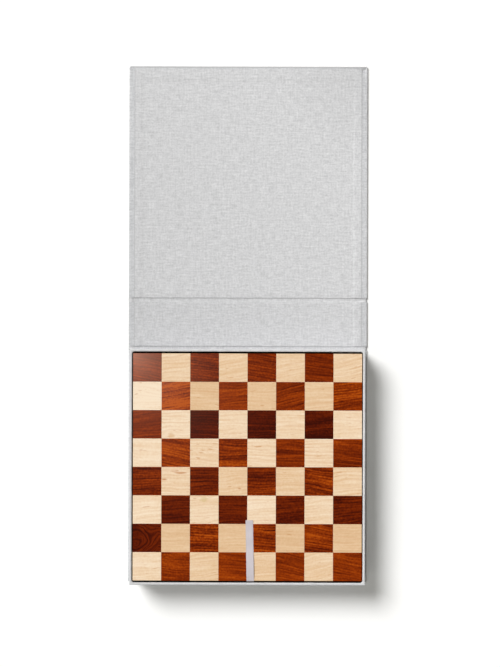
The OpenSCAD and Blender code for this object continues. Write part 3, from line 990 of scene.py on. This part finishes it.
def make_plank_tree():
    """Geometry Nodes: the squares that one plank gives to its row, each with an eased top."""
    tree, given, result = node_group(
        "Squares of one plank",
        [
            ("Geometry", GEOMETRY, None), ("Width", FLOAT, 37.8 * MM), ("Depth", FLOAT, 37.5 * MM),
            ("Thickness", FLOAT, 9 * MM), ("Ease", FLOAT, EASE), ("Count", INTEGER, 4),
            ("First", VECTOR, (0, 0, 0)), ("Tone", FLOAT, 0.5), ("Tone change", FLOAT, 0.05),
            ("First tone", FLOAT, 0.0), ("Knot", FLOAT, 0.0), ("Tilt", FLOAT, 0.0),
            ("Tilt change", FLOAT, 0.03), ("Figure", FLOAT, 0.5), ("First figure", FLOAT, 0.0),
            ("Seed", INTEGER, 0), ("Finish", MATERIAL, None),
        ],
        ["Geometry"], kind="GeometryNodeTree", output_type=GEOMETRY,
    )
    body_t = maths(tree, "SUBTRACT", given["Thickness"], given["Ease"])
    size = join(tree, X=given["Width"], Y=given["Depth"], Z=body_t)
    block = place(tree, "GeometryNodeMeshCube", {"Size": size})
    up = split(tree, place(tree, "GeometryNodeInputNormal").outputs["Normal"])["Z"]
    is_top = place(tree, "FunctionNodeCompare", {0: up, 1: 0.5}, data_type="FLOAT")
    raised = place(tree, "GeometryNodeExtrudeMesh", {
        "Mesh": block.outputs["Mesh"], "Selection": is_top.outputs["Result"],
        "Offset Scale": given["Ease"],
    })
    eased_away = maths(tree, "DIVIDE", maths(tree, "MULTIPLY", given["Ease"], 2.0), given["Width"])
    eased = place(tree, "GeometryNodeScaleElements", {
        "Geometry": raised.outputs["Mesh"], "Selection": raised.outputs["Top"],
        "Scale": maths(tree, "SUBTRACT", 1.0, eased_away),
    })
    spots = place(tree, "GeometryNodeMeshLine", {
        "Count": given["Count"], "Start Location": given["First"],
        "Offset": join(tree, X=maths(tree, "MULTIPLY", given["Width"], 2.0)),
    })
    laid = place(tree, "GeometryNodeInstanceOnPoints", {
        "Points": spots.outputs["Mesh"], "Instance": eased.outputs["Geometry"],
    })
    index = place(tree, "GeometryNodeInputIndex").outputs["Index"]
    first = place(
        tree, "FunctionNodeCompare", {2: index, 3: 0}, data_type="INT", operation="EQUAL"
    ).outputs["Result"]

    def scatter(low, high, offset, kind="FLOAT"):
        """A random value for each square. Its sockets depend on the kind of value."""
        at, out = (0, 0) if kind == "FLOAT_VECTOR" else (2, 1)
        seed = maths(tree, "ADD", given["Seed"], offset)
        inputs = {"ID": index, "Seed": seed, at: low, at + 1: high}
        return place(tree, "FunctionNodeRandomValue", inputs, data_type=kind).outputs[out]

    tone = maths(tree, "MULTIPLY_ADD", scatter(-1, 1, 11), given["Tone change"], given["Tone"])
    tilt = maths(tree, "MULTIPLY_ADD", scatter(-1, 1, 23), given["Tilt change"], given["Tilt"])
    figure = maths(tree, "MULTIPLY", given["Figure"], scatter(0.75, 1.25, 37))
    carried = (
        ("tone", "FLOAT", maths(tree, "MULTIPLY_ADD", first, given["First tone"], tone)),
        ("grain_tilt", "FLOAT", tilt),
        ("knot", "FLOAT", maths(tree, "MULTIPLY", first, given["Knot"])),
        ("figure", "FLOAT", maths(tree, "MULTIPLY_ADD", first, given["First figure"], figure)),
        ("grain_shift", "FLOAT_VECTOR", scatter((-1, -1, -1), (1, 1, 1), 5, "FLOAT_VECTOR")),
    )
    geometry = laid.outputs["Instances"]
    for label, kind, value in carried:
        geometry = place(
            tree, "GeometryNodeStoreNamedAttribute",
            {"Geometry": geometry, "Name": label, "Value": value},
            data_type=kind, domain="INSTANCE",
        ).outputs["Geometry"]
    real = place(tree, "GeometryNodeRealizeInstances", {"Geometry": geometry}).outputs["Geometry"]
    done = place(tree, "GeometryNodeSetMaterial", {"Geometry": real, "Material": given["Finish"]})
    feed(result, {"Geometry": done.outputs["Geometry"]})
    return tree


def plank_squares(tree, kind, number, finish, seed, character):
    """Runs the tree for one plank, as a plain mesh on the board."""
    node = f"{kind}_row_{number}"
    low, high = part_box(node)
    wide = (high[X] - low[X]) / 7
    values = {
        "Width": wide, "Depth": high[Y] - low[Y], "Thickness": high[Z] - low[Z], "Ease": EASE,
        "First": (low[X] + wide / 2, (low[Y] + high[Y]) / 2, (low[Z] + high[Z] - EASE) / 2),
        "Count": 4, "Seed": seed, "Finish": finish, "Tone change": 0.03, **character,
    }
    name = f"{kind}_squares_{number}"
    piece = bpy.data.objects.new(name, bpy.data.meshes.new(name))
    bpy.context.scene.collection.objects.link(piece)
    modifier = piece.modifiers.new("Squares", "NODES")
    modifier.node_group = tree
    for item in tree.interface.items_tree:
        if item.in_out == "INPUT" and item.name in values:
            modifier[item.identifier] = values[item.name]
    bake_modifiers(piece)
    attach(piece, "chessboard")
    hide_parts(node)


# One entry for each dark plank, from back to front: its tone, what its first square adds to
# it, the tilt of its grain and how lively it is.
DARK_PLANKS = (
    (0.45, -0.14, 0.10, 0.56), (0.61, 0.08, -0.14, 0.58), (0.13, 0.33, 0.02, 0.44),
    (0.52, 0.12, 0.12, 0.60), (0.45, 0.01, 0.05, 0.60), (0.29, 0.02, -0.02, 0.46),
    (0.56, -0.34, 0.08, 0.62), (0.62, -0.07, 0.14, 0.52),
)
KNOTTED_PLANK = 7
# The same for each light plank: its tone, what its first square adds, and the tilt.
LIGHT_PLANKS = (
    (0.53, 0.06, -0.10), (0.40, 0.55, -0.02), (0.70, 0.08, 0.03), (0.66, 0.10, 0.05),
    (0.50, 0.08, -0.03), (0.70, 0.02, -0.06), (0.29, 0.03, 0.04), (0.50, 0.22, -0.10),
)

plank_tree = make_plank_tree()
for number, (tone, first, tilt, figure) in enumerate(DARK_PLANKS, 1):
    knotted = number == KNOTTED_PLANK
    plank_squares(plank_tree, "dark", number, DARK_WOOD, 100 + 7 * number, {
        "Tone": tone, "First tone": first, "Tilt": tilt, "Tilt change": 0.12, "Figure": figure,
        "Knot": 1.0 if knotted else 0.0, "First figure": -0.18 if knotted else 0.0,
    })
for number, (tone, first, tilt) in enumerate(LIGHT_PLANKS, 1):
    plank_squares(plank_tree, "light", number, LIGHT_WOOD, 400 + 5 * number, {
        "Tone": tone, "First tone": first, "Tilt": tilt, "Tilt change": 0.08, "Figure": 0.36,
        "First figure": 0.0 if number % 2 else -0.2,
    })
pull_ribbon()


# ---- CAD pieces that keep their shape ----

KEPT = {
    GREYBOARD: (
        "base_board", "spine_board", "lid_board", "base_infill", "tray_floor",
        "front_wall", "back_wall", "left_wall", "right_wall",
    ),
    BLACK_LINING: ("wall_lining", "floor_lining"),
    BLACK_CARD: (
        *(f"long_divider_{i}" for i in range(1, 4)), *(f"cross_divider_{i}" for i in range(1, 8)),
    ),
    PLYWOOD: ("board_backing",),
}
for finish, names in KEPT.items():
    for name in names:
        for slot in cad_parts[name].material_slots:
            slot.material = finish


# ---- Floor, light and camera ----

FLOOR_SIZE = 24
FLOOR_DROP = 0.05 * MM  # so that the floor doesn't share a face with the case
FLOOR_WHITE = (0.95, 0.948, 0.942, 1)
FLOOR_GLOW = 0.07  # lifts the open floor to white where it is seen, and lights nothing
SKY_LIGHT = (0.175, 0.172, 0.152, 1)
WHITE = (1, 1, 1, 1)
CAMERA_PLACE = (3.0 * MM, 176.5 * MM, 1.95)
CAMERA_LENS = 77.41
CAMERA_TURN = 0.0028  # radians


def seen_directly(tree):
    """1 for rays from the camera, from a gloss or through glass, 0 for those that carry light."""
    rays = place(tree, "ShaderNodeLightPath").outputs
    seen = maths(tree, "MAXIMUM", rays["Is Camera Ray"], rays["Is Glossy Ray"])
    return maths(tree, "MAXIMUM", seen, rays["Is Transmission Ray"])


def white_stage():
    """A pale floor that keeps the box's shadow, and a white world behind it."""
    bpy.ops.mesh.primitive_plane_add(size=FLOOR_SIZE, location=(0, 0, -FLOOR_DROP))
    floor = bpy.context.object
    floor.name = "floor"
    material, tree = new_finish("White floor", 0.9, 0.0)
    feed(tree.nodes["Principled BSDF"], {
        "Base Color": FLOOR_WHITE, "Emission Color": WHITE,
        "Emission Strength": maths(tree, "MULTIPLY", seen_directly(tree), FLOOR_GLOW),
    })
    floor.data.materials.append(material)
    floor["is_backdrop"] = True

    world = bpy.data.worlds.new("White studio")
    bpy.context.scene.world = world
    world.use_nodes = True
    tree = world.node_tree
    sky = mix_colour(tree, seen_directly(tree), SKY_LIGHT, WHITE)
    feed(tree.nodes["Background"], {"Color": sky})


def broad_light(name, towards, angle, strength):
    """A sun with soft edges, an angle in degrees wide. Its strength is what a level face gets."""
    lamp = bpy.data.lights.new(name, "SUN")
    lamp.angle = math.radians(angle)
    light = bpy.data.objects.new(name, lamp)
    bpy.context.scene.collection.objects.link(light)
    x, y, z = np.array(towards) / np.linalg.norm(towards)
    light.rotation_euler = (0, math.acos(z), math.atan2(y, x))
    lamp.energy = strength * math.pi / z


def overhead_camera():
    """Straight above the open box, long enough that the walls hardly splay."""
    lens = bpy.data.cameras.new("camera")
    lens.lens = CAMERA_LENS
    lens.sensor_width = 36
    camera = bpy.data.objects.new("camera", lens)
    camera.location = CAMERA_PLACE
    camera.rotation_euler = (0, 0, CAMERA_TURN)
    bpy.context.scene.collection.objects.link(camera)
    bpy.context.scene.camera = camera


white_stage()
# The key comes from behind on the left, and its shadow falls to the front right. The fill comes
# from low on the front left, and softens the shadow in front.
broad_light("key", towards=(-0.613, 0.66, 1.0), angle=28, strength=0.80)
broad_light("fill", towards=(-0.62, -0.62, 0.62), angle=50, strength=0.06)
overhead_camera()
bpy.context.scene.view_settings.view_transform = "Standard"

boxes = {"cad": cad_box, "visual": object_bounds()}
{k: [list(map(float, corner)) for corner in b] for k, b in boxes.items()}
